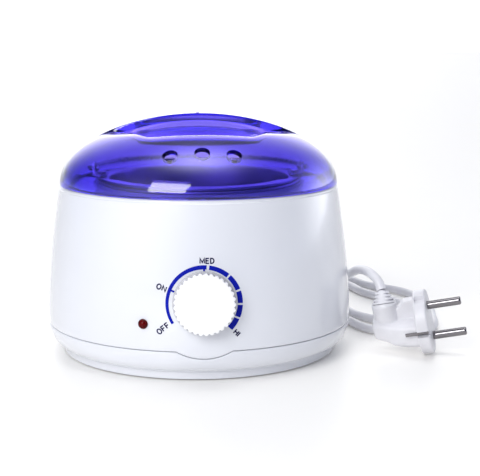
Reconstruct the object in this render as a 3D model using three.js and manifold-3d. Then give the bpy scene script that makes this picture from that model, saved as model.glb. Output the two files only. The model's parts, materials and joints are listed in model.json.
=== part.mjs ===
// Electric wax warmer pot: a heated well in a white two-part casing, with a lift-out pot and a domed lid.
// Millimetres, +Z up. The origin is on the pot's axis, on the surface that its feet stand on.
// The dial faces -Y, and the mains cord leaves at +Y.
import * as THREE from 'three';
import { mergeVertices } from 'three/addons/utils/BufferGeometryUtils.js';
import Module from 'manifold-3d';

const wasm = await Module();
wasm.setup();

// ---- Driving dimensions ----
const GAP = 0.3; // clearance between pieces that touch
const SEGMENTS = 36; // facets round the large turned pieces

const RIM_Z = 95.6; // top of the casing's rim
const SEAM_Z = 17.8; // where casing and base meet
const WALL = 2.5;
const BASE_TOP_R = 87.5;
const BASE_EDGE_R = 80.7; // rolled edge above the foot ring
const BASE_EDGE_Z = 6;
const PLATE_TOP = 5.4; // upper face of the bottom plate
const PLATE_UNDER = 3;

const LID_R = 79.7;
const LID_Z = RIM_Z + GAP;
const LID_RISE = 39.8;
const LID_WALL = 2.2;
const LID_POWER = 1.95; // 2 would be an exact ellipse
const RIDGE_HALF = 5; // half thickness of the grip ridge
const SCOOP = { z: 134, rx: 90, ry: 46.5, rz: 16 };
const VENTS = { radius: 4.1, at: [[-14.7, 66.4], [0, 64.5], [14.7, 66.4]] };

const WELL_R = 56;
const POT_R = 52.8;
const POT_TOP = 98;
const BAIL_R = 63;
const BAIL_WIRE = 1.5;
const BAIL_Z = 102.5;

const DIAL_Z = 43.5; // height of the dial on the casing's wall
const KNOB_R = 16;
const KNOB_FRONT = 9;
const KNOB_BACK = 0.8;
const KNOB_LOBES = 33;
const TAB_R = 29.6; // tab of the casing below the dial, concentric with it
const LAMP = { angle: 21.2, z: 31.7 };

const SCREW_R = 71;
const SCREW_ANGLES = [20, 160, 200, 340];
const FOOT_R = 68;
const FOOT_ANGLES = [45, 135, 225, 315];
const POST_X = 56; // posts of the bridge under the well

const CORD_R = 2.7;
const CORD_Z = 11.5; // height of the cord's exit
const RELIEF_TIP = 99;
const PLUG = { at: [130, -33, 19.6], heading: -16, nose: -11.5, roll: 12 };
const PLUG_R = 18.3;

const DEG = Math.PI / 180;

// Outer radius of the casing's wall at a height.
function wallRadius(z) {
  return 87.6 - 7.9 * Math.max(0, (z - 24) / 71.6) ** 1.5;
}

// Height of the lid's surface over its rim, for a shell of a given radius and rise.
function domeHeight(r, radius, rise) {
  return rise * Math.max(0, 1 - (r / radius) ** LID_POWER) ** (1 / LID_POWER);
}

const DIAL_LEAN = Math.atan((wallRadius(DIAL_Z - 1) - wallRadius(DIAL_Z + 1)) / 2);

// ---- Materials ----
function paint(color, roughness, metalness = 0) {
  return new THREE.MeshStandardMaterial({ color, roughness, metalness });
}
const white = paint(0xf3f4f8, 0.22);
const violet = paint(0x5b48dc, 0.08);
const aluminium = paint(0xc9ccd0, 0.35, 1);
const steel = paint(0xb4b7bb, 0.3, 1);
const rubber = paint(0x8d8f94, 0.8);
const redLens = paint(0x5a0510, 0.15);
const mica = paint(0xa98a5c, 0.6);
const fibre = paint(0xe6e2d8, 0.9);
const phenolic = paint(0x2a2626, 0.5);
const ceramic = paint(0xeeeae0, 0.4);
const cordWhite = paint(0xd9d7e0, 0.45);
const chrome = paint(0xd8dadd, 0.12, 1);
const wireRed = paint(0x9c2f2a, 0.5);
const wireBlue = paint(0x2f4f9c, 0.5);

const pot = new THREE.Group();

// ---- Shape helpers ----
function toSolid(geometry) {
  const bare = geometry.index ? geometry.toNonIndexed() : geometry.clone();
  for (const name of Object.keys(bare.attributes)) {
    if (name !== 'position') bare.deleteAttribute(name);
  }
  const merged = mergeVertices(bare, 1e-4);
  const kept = [];
  const index = merged.index.array;
  for (let i = 0; i < index.length; i += 3) {
    const [a, b, c] = index.slice(i, i + 3);
    if (a !== b && b !== c && c !== a) kept.push(a, b, c);
  }
  const vertProperties = Float32Array.from(merged.attributes.position.array);
  const triVerts = Uint32Array.from(kept);
  return new wasm.Manifold(new wasm.Mesh({ numProp: 3, vertProperties, triVerts }));
}

function toGeometry(solid) {
  const mesh = solid.getMesh();
  const geometry = new THREE.BufferGeometry();
  geometry.setAttribute('position', new THREE.BufferAttribute(mesh.vertProperties, 3));
  geometry.setIndex(new THREE.BufferAttribute(mesh.triVerts, 1));
  geometry.computeVertexNormals();
  return geometry;
}

// A solid turned about Z from [radius, height] points, listed anticlockwise.
function turned(points, segments = SEGMENTS) {
  const profile = points.map(([r, z]) => new THREE.Vector2(r, z));
  const onAxis = points[0][0] === 0 && points.at(-1)[0] === 0;
  if (!onAxis) profile.push(profile[0].clone());
  return toSolid(new THREE.LatheGeometry(profile, segments).rotateX(90 * DEG));
}

// A cylinder along Z from one height to another.
function rod(radius, low, high, sides = 16, x = 0, y = 0) {
  const geometry = new THREE.CylinderGeometry(radius, radius, high - low, sides);
  return toSolid(geometry.rotateX(90 * DEG).translate(x, y, (low + high) / 2));
}

// A box between two corners.
function block([x0, y0, z0], [x1, y1, z1]) {
  const geometry = new THREE.BoxGeometry(x1 - x0, y1 - y0, z1 - z0);
  return toSolid(geometry.translate((x0 + x1) / 2, (y0 + y1) / 2, (z0 + z1) / 2));
}

// An outline in X and Y, raised along Z.
function prism(points, low, high) {
  const shape = new THREE.Shape(points.map(([x, y]) => new THREE.Vector2(x, y)));
  const geometry = new THREE.ExtrudeGeometry(shape, { depth: high - low, bevelEnabled: false });
  return toSolid(geometry.translate(0, 0, low));
}

// The same solid in another place: rotation angles in degrees, then a move.
function placed(solid, [x, y, z], [rx, ry, rz] = [0, 0, 0], order = 'XYZ') {
  const turn = new THREE.Euler(rx * DEG, ry * DEG, rz * DEG, order);
  const matrix = new THREE.Matrix4().makeRotationFromEuler(turn).setPosition(x, y, z);
  return toSolid(toGeometry(solid).applyMatrix4(matrix));
}

// The corners of a regular polygon.
function polygon(radius, sides) {
  const points = [];
  for (let i = 0; i < sides; i++) {
    const a = ((i + 0.5) / sides) * 2 * Math.PI;
    points.push([radius * Math.cos(a), radius * Math.sin(a)]);
  }
  return points;
}

// A round tube along a smooth curve through its points.
function tube(points, radius, steps, sides = 8) {
  const path = new THREE.CatmullRomCurve3(points.map((p) => new THREE.Vector3(...p)));
  const section = new THREE.Shape(polygon(radius, sides).map(([x, y]) => new THREE.Vector2(x, y)));
  return toSolid(new THREE.ExtrudeGeometry(section, { steps, extrudePath: path, bevelEnabled: false }));
}

function add(name, shape, material, parent = pot) {
  const mesh = new THREE.Mesh(toGeometry(shape), material);
  mesh.name = name;
  parent.add(mesh);
  return mesh;
}

function ringPoint(radius, angle) {
  return [radius * Math.cos(angle * DEG), radius * Math.sin(angle * DEG)];
}

// Frames that tilted pieces share: their Z points out of the wall.
const dialFrame = new THREE.Group();
dialFrame.position.set(0, -wallRadius(DIAL_Z), DIAL_Z);
dialFrame.rotation.set(90 * DEG - DIAL_LEAN, 0, 0);
pot.add(dialFrame);

const lampFrame = new THREE.Group();
const LAMP_TURN = [90, 0, -LAMP.angle];
lampFrame.position.set(0, 0, LAMP.z);
lampFrame.rotation.set(90 * DEG, 0, -LAMP.angle * DEG, 'ZYX');
pot.add(lampFrame);

// ---- Base shell ----
// Points of the bowl between the rolled edge and the seam; inset makes the inner face.
function bowl(inset, edgeZ, topZ, steps = 5) {
  const points = [];
  for (let i = 0; i <= steps; i++) {
    const t = (i / steps) * 90 * DEG;
    const r = BASE_EDGE_R - inset + (BASE_TOP_R - BASE_EDGE_R) * Math.sin(t);
    points.push([r, Math.min(topZ, SEAM_Z - (SEAM_Z - edgeZ) * Math.cos(t))]);
  }
  return points;
}

const LIP = { outer: 84.6, inner: 82.6, top: 22 };
const CLAMP = { x: 9.5, y: 71.5, half: 3 };

function baseShell() {
  const profile = [
    [0, PLATE_UNDER],
    [77.6, PLATE_UNDER],
    [77.6, 0.8],
    [79.6, 0.8],
    [79.6, 5.4],
    ...bowl(0, BASE_EDGE_Z, SEAM_Z - GAP),
    [LIP.outer, SEAM_Z - GAP],
    [LIP.outer, LIP.top],
    [LIP.inner, LIP.top],
    [LIP.inner, 14.4],
    [80.2, 9.6],
    [76.6, PLATE_TOP],
    [0, PLATE_TOP],
  ];
  let shell = turned(profile);
  for (const angle of SCREW_ANGLES) {
    const [x, y] = ringPoint(SCREW_R, angle);
    shell = shell.add(rod(4.2, 4, 22.2, 12, x, y)).subtract(rod(2.1, 0, 30, 10, x, y));
  }
  for (const side of [-1, 1]) {
    shell = shell.add(rod(4.2, 4, 18.6, 12, side * POST_X, 0));
    shell = shell.subtract(rod(1.8, 8, 20, 8, side * POST_X, 0));
    shell = shell.add(rod(3.6, 4, 14.6, 12, side * CLAMP.x, CLAMP.y));
    shell = shell.subtract(rod(1.8, 8, 16, 8, side * CLAMP.x, CLAMP.y));
  }
  for (const angle of FOOT_ANGLES) {
    shell = shell.subtract(rod(2.8, 0, 8, 10, ...ringPoint(FOOT_R, angle)));
  }
  for (let i = -2; i <= 2; i++) {
    shell = shell.subtract(block([i * 14 - 2, -36, 0], [i * 14 + 2, -14, 8]));
  }
  const outside = turned([[0, 4], [79, 4], ...bowl(1, BASE_EDGE_Z, SEAM_Z), [0, SEAM_Z]]);
  shell = shell.add(block([-9, 77, 4], [9, 90, 16.5]).intersect(outside));
  shell = shell.subtract(placed(rod(4.6, 70, 95), [0, 0, CORD_Z], [-90, 0, 0]));
  const notch = placed(rod(TAB_R + GAP, 76, 95, 48), [0, 0, DIAL_Z], [90, 0, 0]);
  return shell.subtract(notch);
}
add('base_shell', baseShell(), white);

for (const [i, angle] of FOOT_ANGLES.entries()) {
  const foot = turned(
    [[0, 0], [6.6, 0], [7, 0.6], [7, 2.7], [2.4, 2.7], [2.4, 5.8], [3.4, 6.2], [2, 8], [0, 8]],
    10,
  );
  const [x, y] = ringPoint(FOOT_R, angle);
  add(`foot_${i + 1}`, foot, rubber).position.set(x, y, 0);
}

function screw(headR, headLow, headHigh, shankR, tip, sides = 8) {
  return turned([
    [0, headLow],
    [headR, headLow],
    [headR, headHigh],
    [shankR, headHigh],
    [shankR, tip - 1],
    [0, tip],
  ], sides);
}
for (const [i, angle] of SCREW_ANGLES.entries()) {
  const [x, y] = ringPoint(SCREW_R, angle);
  add(`base_screw_${i + 1}`, screw(3.4, 0.7, 2.7, 1.6, 32), steel).position.set(x, y, 0);
}

// ---- Casing ----
function bodyShell() {
  const outer = [SEAM_Z, 30, 46, 62, 78, 94.4].map((z) => [wallRadius(z), z]);
  const inner = [90, 70, 50, 32, SEAM_Z].map((z) => [wallRadius(z) - WALL, z]);
  let shell = turned([
    ...outer,
    [79.1, RIM_Z],
    [77.7, RIM_Z],
    [77.2, 95],
    [77.2, 92.5],
    [61.2, 92.5],
    [60, 93.2],
    [60, 95],
    [57.2, 95],
    [57.2, 84],
    [59.2, 84],
    [59.2, 90],
    ...inner,
  ]);
  const tabRing = turned([
    ...bowl(0, BASE_EDGE_Z, SEAM_Z),
    [wallRadius(20), 20],
    [wallRadius(20) - WALL, 20],
    ...bowl(2.4, 8, SEAM_Z).reverse(),
  ]);
  const tab = placed(rod(TAB_R, 76, 95, 48), [0, 0, DIAL_Z], [90, 0, 0]);
  shell = shell.add(tabRing.intersect(tab));
  for (const angle of SCREW_ANGLES) {
    const [x, y] = ringPoint(SCREW_R, angle);
    const rib = block([3, -1.1, 22.6], [wallRadius(24) - SCREW_R - 1.2, 1.1, 44]);
    const web = placed(rib, [x, y, 0], [0, 0, angle]);
    shell = shell.add(rod(4.2, 22.6, 44, 12, x, y)).add(web);
    shell = shell.subtract(rod(2, 20, 35, 10, x, y));
  }
  const dialHole = placed(
    rod(4.4, -8, 8),
    [0, -wallRadius(DIAL_Z), DIAL_Z],
    [90 - DIAL_LEAN / DEG, 0, 0],
  );
  const lampHole = placed(rod(2.5, 80, 92, 12), [0, 0, LAMP.z], LAMP_TURN, 'ZYX');
  return shell.subtract(dialHole).subtract(lampHole);
}
add('body_shell', bodyShell(), white);

// ---- Heated well and what surrounds it ----
const WELL_UNDER = 32.2;
add('heater_well', turned([
  [0, WELL_UNDER],
  [50.5, WELL_UNDER],
  [54.4, 33.8],
  [WELL_R, 38],
  [WELL_R, 95.3],
  [59.7, 95.3],
  [59.7, 96.3],
  [54.6, 96.3],
  [54.6, 38.4],
  [53.2, 34.9],
  [50, 33.7],
  [0, 33.7],
]), aluminium);

function heaterBand() {
  const ring = turned([[56.4, 46], [58.3, 46], [58.3, 72], [56.4, 72]]);
  let band = ring.subtract(block([-4, 50, 40], [4, 70, 80]));
  for (const side of [-1, 1]) {
    const [low, high] = [Math.min(side * 4, side * 5.6), Math.max(side * 4, side * 5.6)];
    band = band.add(block([low, 57, 52], [high, 67, 66]));
  }
  return band.subtract(placed(rod(2, -10, 10, 10), [0, 63.5, 59], [0, 90, 0]));
}
add('heater_band', heaterBand(), mica);

const clampScrew = screw(3.2, -9, -6, 1.6, 10);
add('heater_clamp_screw', placed(clampScrew, [0, 63.5, 59], [0, 90, 0]), steel);

const sleeve = turned([[58.7, 38], [62.6, 38], [62.6, 82], [58.7, 82]]);
add('insulation_sleeve', sleeve.subtract(block([-13, 40, 30], [13, 70, 90])), fibre);

function bridge() {
  let strap = block([-62, -8, 19], [62, 8, 20.5]).subtract(rod(2.9, 10, 30));
  for (const side of [-1, 1]) strap = strap.subtract(rod(1.9, 10, 30, 10, side * POST_X, 0));
  return strap;
}
add('support_bridge', bridge(), steel);
for (const side of [-1, 1]) {
  const bridgeScrew = placed(screw(3.2, -22.8, -20.8, 1.4, -9), [side * POST_X, 0, 0], [180, 0, 0]);
  add(`bridge_screw_${side < 0 ? 1 : 2}`, bridgeScrew, steel);
}
add('well_stud', turned([[0, 12], [2.5, 12], [2.5, 30.6], [6, 30.6], [6, 31.9], [0, 31.9]], 12), steel);
add('well_nut', prism(polygon(4.8, 6), 15, 18.7).subtract(rod(2.8, 10, 20)), steel);

const FUSE = [22, 18, 29.4];
add('thermal_fuse', placed(rod(2, -7, 7, 10), FUSE, [0, 90, 0]), ceramic);
const fuseClip = prism([
  [-7, 1.8], [-3.1, 1.8], [-3.1, -3], [3.1, -3], [3.1, 1.8], [7, 1.8],
  [7, 2.4], [2.4, 2.4], [2.4, -2.4], [-2.4, -2.4], [-2.4, 2.4], [-7, 2.4],
], -2.5, 2.5);
add('fuse_clip', placed(fuseClip, FUSE, [90, 0, 90], 'ZYX'), steel);

// ---- Thermostat, dial knob and lamp ----
function thermostat() {
  const outline = [[-12, -9], [-9, -12], [9, -12], [12, -9], [12, 9], [9, 12], [-9, 12], [-12, 9]];
  let body = prism(outline, -18, -4.2);
  body = body.add(rod(4, -5, 3.2)).subtract(rod(3.3, -8, 5));
  for (const side of [-1, 1]) {
    body = body.add(block([side * 5 - 2.4, -18.5, -13], [side * 5 + 2.4, -11, -12.2]));
  }
  return body;
}
add('thermostat_body', thermostat(), phenolic, dialFrame);
add('thermostat_nut', prism(polygon(6.6, 6), GAP, 2.4).subtract(rod(4.3, -1, 5)), steel, dialFrame);

const shaft = rod(3, -7.6, 7, 16).subtract(block([-4, 2, 3.6], [4, 4, 9]));
add('thermostat_shaft', shaft, steel, dialFrame);

function knob() {
  const outline = [];
  for (let i = 0; i < KNOB_LOBES * 2; i++) {
    const r = i % 2 ? KNOB_R : KNOB_R - 0.8;
    const a = (i / (KNOB_LOBES * 2)) * 2 * Math.PI;
    outline.push([r * Math.cos(a), r * Math.sin(a)]);
  }
  const edge = turned([
    [0, KNOB_BACK],
    [KNOB_R + 1, KNOB_BACK],
    [KNOB_R + 1, 7.7],
    [14.8, KNOB_FRONT],
    [0, KNOB_FRONT],
  ]);
  const inside = rod(13.6, 0, 7.2, 32).subtract(rod(5, 3.6, 8, 16)).add(rod(3.3, 3, 7.4, 16));
  return prism(outline, KNOB_BACK, KNOB_FRONT).intersect(edge).subtract(inside);
}
add('control_knob', knob(), white, dialFrame);

const lens = turned([
  [0, 78],
  [2.1, 78],
  [2.1, 87.7],
  [2.8, 87.7],
  [2.6, 88.6],
  [1.6, 89.4],
  [0, 89.8],
], 12);
add('indicator_lens', lens, redLens, lampFrame);
add('lamp_retainer', rod(4.6, 83, 84, 12).subtract(rod(2.4, 80, 90, 12)), steel, lampFrame);
const bulb = turned([[0, 66], [2.4, 66], [2.4, 75.5], [1.2, 77.4], [0, 77.6]], 10);
add('indicator_lamp', bulb, ceramic, lampFrame);

// ---- Supply: terminals, clamp and wiring ----
const BLOCK = { low: [-14, 42, 5.8], high: [14, 56, 16.8] };
let terminals = block(BLOCK.low, BLOCK.high);
for (const [i, x] of [-9, 0, 9].entries()) {
  terminals = terminals.subtract(rod(2.4, 11.8, 20, 10, x, 49));
  add(`terminal_screw_${i + 1}`, rod(2, 12.2, 16.4, 10, x, 49), steel);
}
add('terminal_block', terminals, ceramic);

let saddle = block([-13.5, CLAMP.y - CLAMP.half, 14.9], [13.5, CLAMP.y + CLAMP.half, 17.3]);
for (const side of [-1, 1]) {
  saddle = saddle.subtract(rod(1.9, 10, 20, 10, side * CLAMP.x, CLAMP.y));
  const clampFixing = placed(screw(3, -19.4, -17.6, 1.4, -9), [side * CLAMP.x, CLAMP.y, 0], [180, 0, 0]);
  add(`clamp_screw_${side < 0 ? 1 : 2}`, clampFixing, steel);
}
add('cord_clamp', saddle, phenolic);

const WIRES = [
  ['core_live', wireRed, [[-1.4, 69.6, 11.5], [-3, 66, 11.5], [-8, 60, 11.5], [-9, 56.4, 11.5]]],
  ['core_neutral', wireBlue, [[1.4, 69.6, 11.5], [3, 66, 11.5], [8, 60, 11.5], [9, 56.4, 11.5]]],
  ['wire_thermostat', wireRed, [
    [-9, 41.6, 11.5], [-12, 34, 10.5], [-34, 16, 9], [-40, -10, 9],
    [-30, -44, 10], [-12, -68, 14], [-5, -73.2, 19], [-5, -74.4, 23.6],
  ]],
  ['wire_fuse', wireRed, [
    [5, -74.4, 23.6], [5, -73, 19], [12, -66, 13], [32, -40, 10], [42, -10, 9],
    [44, 12, 13], [38, 18, 26], [33, 18, 29.2], [29.4, 18, 29.4],
  ]],
  ['wire_heater_live', wireRed, [
    [14.6, 18, 29.4], [12, 18, 29.3], [7, 22, 26], [4, 44, 24],
    [-2, 62, 30], [-9, 61.6, 40], [-9, 60.6, 45.6],
  ]],
  ['wire_heater_neutral', wireBlue, [
    [9, 60.6, 45.6], [9, 61.6, 38], [9, 60, 26], [9, 44, 21], [9, 36, 17], [9, 37, 12], [9, 41.6, 11.5],
  ]],
  ['lamp_lead_1', wireRed, [[-22.8, -60.2, 32], [-22, -60, 26], [-19, -62, 20], [-14.5, -69, 18.5]]],
];
for (const [name, material, points] of WIRES) add(name, tube(points, 1, 10, 6), material);

// ---- Cord exit, cord and plug ----
const relief = turned([
  [3.2, 74.9],
  [5.7, 74.9],
  [5.7, 76.6],
  [4.2, 76.6],
  [4.2, 87.9],
  [6, 87.9],
  [6, 90],
  [5, 90.6],
  [4, RELIEF_TIP],
  [3.2, RELIEF_TIP],
], 16);
add('strain_relief', placed(relief, [0, 0, CORD_Z], [-90, 0, 0]), cordWhite);

// The cord's route, from the clamp inside the base to the bend over the plug.
const ROUTE = [
  [0, 70, 11.5], [0, 101, 11.3], [5, 124, 5.2], [28, 139, 2.9], [59, 124, 2.9], [79, 94, 2.9],
  [88.5, 65, 2.9], [95.5, 36, 2.9], [105, 15, 2.9], [124, 6, 2.9], [142, 17, 2.9], [150, 50, 2.9],
  [154, 90, 2.9], [145, 123, 2.9], [125, 145, 2.9], [113, 172, 2.9], [92, 192, 2.9], [66, 188, 2.9],
  [54, 166, 2.9], [62, 139, 2.9], [80, 110, 2.9], [95, 78, 2.9], [103, 52, 2.9], [116, 38, 2.9],
  [135, 40, 2.9], [143.5, 58, 2.9], [135, 90, 2.9], [118, 122, 2.9], [109, 152, 2.9], [95, 169, 2.9],
  [75, 169, 2.9], [65.5, 148, 5.5], [75, 118, 10.5], [87.5, 80, 19], [94.5, 38, 33], [95.4, 9, 41.2],
  [96.8, -9, 43.9], [98.9, -18.5, 43.4], [101.5, -23.5, 40.4],
];

function plugFrame() {
  const frame = new THREE.Group();
  frame.position.set(...PLUG.at);
  frame.rotation.set(PLUG.roll * DEG, PLUG.nose * DEG, PLUG.heading * DEG, 'ZYX');
  return frame;
}
const plug = plugFrame();
pot.add(plug);

const RELIEF_FOOT = [-24, 0, 13.4];
const RELIEF_LEAN = [-24, 0, 0]; // the plug's relief leans away from the dial's side
const RELIEF_TOP = 8.6;

function plugBody() {
  let body = placed(rod(PLUG_R, -7, 0, 36), [0, 0, 0], [0, 90, 0]);
  const plan = [[-32, -7.5], [-29, -8.5], [-16, -12], [-6, -14], [-6, 14], [-16, 12], [-29, 8.5], [-32, 7.5]];
  const side = [[-33, -5], [-21, -10.5], [-5, -12], [-5, 4], [-21, 4.6], [-33, 6.6]];
  const hull = prism(plan, -20, 20).intersect(placed(prism(side, -20, 20), [0, 0, 0], [90, 0, 0]));
  const barrel = rod(7.2, 0, 18, 20, -24, 0);
  const overBarrel = placed(rod(11, 0.6, 20, 8), RELIEF_FOOT, RELIEF_LEAN);
  const webSide = [[-24, 2], [-5, 2], [-5, 15], [-12, 14.5], [-17, 11], [-24, 13]];
  const web = placed(prism(webSide, -3, 3), [0, 0, 0], [90, 0, 0]);
  body = body.add(hull).add(barrel.subtract(overBarrel)).add(web);
  for (const z of [-9.5, 9.5]) {
    body = body.subtract(placed(rod(2.7, -3, 2, 12), [0, 0, z], [0, 90, 0]));
  }
  for (const y of [-1, 1]) {
    const slot = block([-14, 14.6, -2.6], [2, 20, 2.6]);
    body = body.subtract(y > 0 ? slot : placed(slot, [0, 0, 0], [180, 0, 0]));
  }
  return body;
}
add('plug_body', plugBody(), cordWhite, plug);

for (const [i, z] of [9.5, -9.5].entries()) {
  const pin = turned([[0, -2.6], [2.4, -2.6], [2.4, 17.4], [1.6, 18.7], [0, 19]], 12);
  add(`plug_pin_${i + 1}`, placed(pin, [0, 0, z], [0, 90, 0]), chrome, plug);
  const spring = block([-13.6, 15, -2.2], [-0.4, 16.2, 2.2]);
  add(`plug_earth_clip_${i + 1}`, i ? spring : placed(spring, [0, 0, 0], [180, 0, 0]), chrome, plug);
}
const plugRelief = turned([[0, 0.9], [6, 0.9], [5.4, 3.6], [3.9, 8.1], [3.9, RELIEF_TOP], [0, RELIEF_TOP]]);
add('plug_relief', placed(plugRelief, RELIEF_FOOT, RELIEF_LEAN), cordWhite, plug);

// The cord ends just clear of the relief's top, on its axis.
plug.updateMatrixWorld(true);
const cordEnd = new THREE.Vector3(0, 0, RELIEF_TOP + 1)
  .applyEuler(new THREE.Euler(RELIEF_LEAN[0] * DEG, 0, 0))
  .add(new THREE.Vector3(...RELIEF_FOOT))
  .applyMatrix4(plug.matrixWorld);
add('mains_cord', tube([...ROUTE, cordEnd.toArray()], CORD_R, 78), cordWhite);

// ---- Lift-out pot and its bail ----
let innerPot = turned([
  [0, 35],
  [47.5, 35],
  [51.4, 36.6],
  [POT_R, 40.4],
  [POT_R, 96.6],
  [58.5, 96.6],
  [58.5, POT_TOP],
  [51.6, POT_TOP],
  [51.3, 40.8],
  [50, 37.8],
  [47, 36.5],
  [0, 36.5],
]);
for (const side of [-1, 1]) innerPot = innerPot.subtract(rod(1.9, 90, 99, 10, side * 55.8, 0));
add('inner_pot', innerPot, aluminium);

for (const [side, name] of [[-1, 'left'], [1, 'right']]) {
  const plate = block([52.6, -6, POT_TOP + GAP], [60.6, 6, POT_TOP + 1.5]);
  const foot = plate.subtract(rod(1.9, 90, 120, 10, 55.8, 0));
  const lug = block([59.2, -4.6, POT_TOP + GAP], [60.6, 4.6, 106]);
  const ear = foot.add(lug).subtract(placed(rod(1.9, 50, 70, 12), [0, 0, BAIL_Z], [0, 90, 0]));
  add(`pot_ear_${name}`, side > 0 ? ear : placed(ear, [0, 0, 0], [0, 0, 180]), steel);
  const rivet = screw(3, -100.7, -99.9, 1.5, -96.8);
  add(`pot_rivet_${name}`, placed(rivet, [side * 55.8, 0, 0], [180, 0, 0]), aluminium);
}

// The bail is a wire hoop whose two ends turn in through the ears.
function bail() {
  const points = [];
  for (let a = -1; a <= 181; a += 7) points.push([...ringPoint(BAIL_R, a), BAIL_Z]);
  let wire = tube(points, BAIL_WIRE, 36, 6);
  for (const side of [-1, 1]) {
    const end = placed(rod(BAIL_WIRE, 57.4, BAIL_R, 8), [0, 0, BAIL_Z], [0, 90, 0]);
    wire = wire.add(placed(end, [0, 0, 0], [0, 0, side > 0 ? 0 : 180]));
  }
  return wire;
}
add('pot_bail', bail(), steel);

// ---- Lid ----
// Points of the dome from a widest radius up to its top.
function domeProfile(radius, rise, widest, steps = 8) {
  const points = [];
  for (let i = 0; i <= steps; i++) {
    const angle = (i / steps) * 90 * DEG;
    const r = i === steps ? 0 : radius * Math.cos(angle);
    if (r <= widest) points.push([r, LID_Z + domeHeight(r, radius, rise)]);
  }
  return points;
}

// Half ellipsoids in front of and behind the grip ridge, grown outward by a margin.
function scoops(margin, ridgeHalf) {
  const ball = () => new THREE.SphereGeometry(1, 28, 14)
    .rotateX(90 * DEG)
    .scale(SCOOP.rx + margin, SCOOP.ry + margin, SCOOP.rz + margin)
    .translate(0, 0, SCOOP.z);
  const half = (side) => {
    const [near, far] = side > 0 ? [ridgeHalf, 120] : [-120, -ridgeHalf];
    const keep = block([-120, near, 0], [120, far, 200]);
    return toSolid(ball().translate(0, side * RIDGE_HALF, 0)).intersect(keep);
  };
  return half(1).add(half(-1));
}

function lid() {
  const outside = turned([[0, LID_Z], ...domeProfile(LID_R, LID_RISE, LID_R)]);
  const skirt = turned([[74.8, 93.2], [76.7, 93.2], [76.7, 97], [74.8, 97]]);
  const innerR = LID_R - LID_WALL;
  const inside = turned([
    [0, 92],
    [74.8, 92],
    ...domeProfile(innerR, LID_RISE - LID_WALL, 74.8),
  ]);
  const hollow = inside.subtract(scoops(LID_WALL, RIDGE_HALF - LID_WALL));
  let shell = outside.subtract(scoops(0, RIDGE_HALF)).add(skirt).subtract(hollow);
  for (const [angle, r] of VENTS.at) {
    const z = LID_Z + domeHeight(r, LID_R, LID_RISE);
    const drill = placed(rod(VENTS.radius, -12, 12, 16), [0, -r, z], [36, 0, 0]);
    shell = shell.subtract(placed(drill, [0, 0, 0], [0, 0, angle]));
  }
  return shell;
}
add('lid', lid(), violet);

export default pot;
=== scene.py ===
"""Looks of the wax warmer pot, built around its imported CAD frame.

Sizes are in millimetres, as in the CAD, and become metres where a mesh is made.
"""

import json
import math

import bmesh
import bpy
from mathutils import Matrix, Vector

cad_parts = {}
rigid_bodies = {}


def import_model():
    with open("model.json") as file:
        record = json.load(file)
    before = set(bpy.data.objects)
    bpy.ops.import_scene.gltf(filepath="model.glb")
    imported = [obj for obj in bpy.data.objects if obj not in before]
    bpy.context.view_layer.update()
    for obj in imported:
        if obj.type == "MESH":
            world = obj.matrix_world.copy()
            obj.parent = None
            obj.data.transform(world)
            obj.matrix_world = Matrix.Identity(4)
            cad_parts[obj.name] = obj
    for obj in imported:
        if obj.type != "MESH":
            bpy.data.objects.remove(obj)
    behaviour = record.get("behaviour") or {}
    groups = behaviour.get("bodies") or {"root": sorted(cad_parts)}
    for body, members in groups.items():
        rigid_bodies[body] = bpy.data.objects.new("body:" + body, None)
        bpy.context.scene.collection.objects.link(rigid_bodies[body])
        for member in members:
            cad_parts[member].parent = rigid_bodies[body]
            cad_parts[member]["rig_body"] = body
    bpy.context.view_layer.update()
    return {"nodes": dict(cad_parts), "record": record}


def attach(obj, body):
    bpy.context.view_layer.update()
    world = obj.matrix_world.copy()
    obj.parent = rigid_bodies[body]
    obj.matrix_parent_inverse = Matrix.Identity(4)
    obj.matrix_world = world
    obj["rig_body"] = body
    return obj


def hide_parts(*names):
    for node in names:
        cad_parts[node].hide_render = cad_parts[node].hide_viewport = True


MM = 0.001

# ---- Driving dimensions, the same as in the CAD ----
RIM_Z = 95.6
SEAM_Z = 17.8
WALL = 2.5
WALL_R = 87.6
WALL_DRAWN_IN = 7.9
WALL_CURVE_Z = 24
WALL_CURVE_RISE = 71.6
WALL_POWER = 1.5
BASE_TOP_R = 87.5
BASE_EDGE_R = 80.7
BASE_EDGE_Z = 6.0

LID_R = 79.7
LID_Z = 95.9
LID_RISE = 39.8
LID_WALL = 2.2
LID_POWER = 1.95
RIDGE_HALF = 5.0
SCOOP = {"z": 134.0, "rx": 90.0, "ry": 46.5, "rz": 16.0}
VENTS = {"radius": 4.1, "lean": 36, "at": ((-14.7, 66.4), (0, 64.5), (14.7, 66.4))}

BAIL_R = 63.0
BAIL_WIRE = 1.5
BAIL_Z = 102.5

DIAL_Z = 43.5
KNOB_R = 16.0
KNOB_FRONT = 9.0
KNOB_BACK = 0.8
KNOB_LOBES = 33
TAB_R = 29.6
LAMP = {"angle": 21.2, "z": 31.7}

CORD_R = 2.7
CORD_Z = 11.5
PLUG = {"at": (130, -33, 19.6), "heading": -16, "nose": -11.5, "roll": 12}
PLUG_R = 18.3

# ---- Dimensions of the finer meshes ----
SEAM_GAP = 0.35
LID_RIM_WALL = 4.4  # the lid's wall towards its rim, thicker for depth of colour
LID_INNER_R = 73.6
RIDGE_CAP = 2.2  # extra thickness under the ridge's top
RIDGE_FLANK = (-0.55, 0.75)  # where the ridge's side starts and ends, from its plain face
SCOOP_BLEND = 1.5  # rounding where a scoop meets the dome
SHOULDER = {"rise": 4.5, "start": 33.0, "end": 39.0}  # the scoops' floors rise at their two ends

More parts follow.
